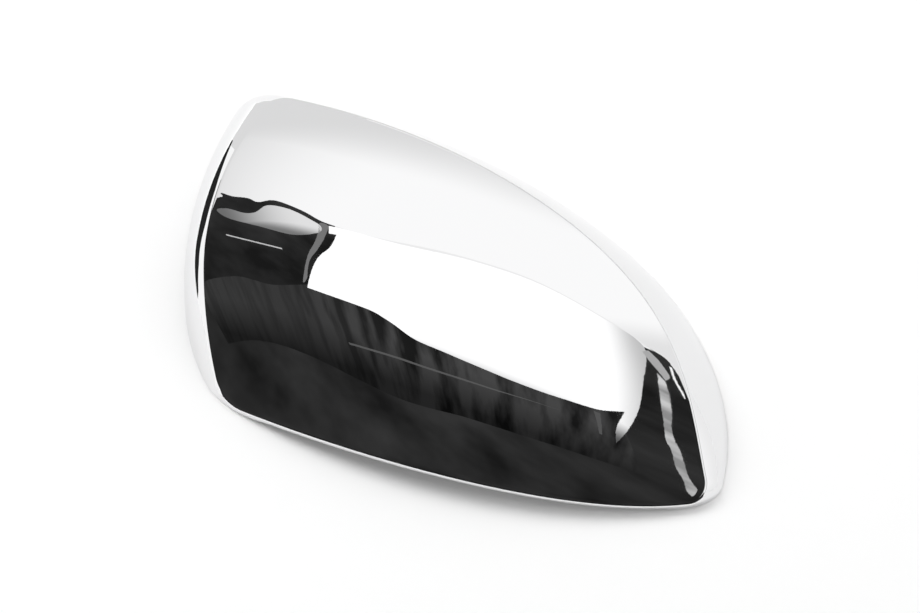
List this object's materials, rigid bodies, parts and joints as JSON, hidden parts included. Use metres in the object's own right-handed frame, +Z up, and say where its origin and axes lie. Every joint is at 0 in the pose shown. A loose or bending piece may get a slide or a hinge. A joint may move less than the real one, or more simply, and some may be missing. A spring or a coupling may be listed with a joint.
{
  "type": "wing mirror cover",
  "caption": "Chromed wing mirror cover for a car: a thin domed shell with a crisp crease, a flared side wall, a rounded tip and an open underside.",
  "frame": {"origin": "centre of the bounding box in the plane that the foot of the side wall stands on", "axes": "+X from the wide inner end to the tip, +Y from the arched near edge to the far side, +Z up from the open side to the face"},
  "size_m": [0.2325, 0.1582, 0.041],
  "materials": {
    "chromed_plastic": "mirror bright on the outer side, with the faint ripple of a plated moulding"
  },
  "bodies": {
    "root": {"cover_shell": "chromed_plastic"}
  },
  "joints": []
}
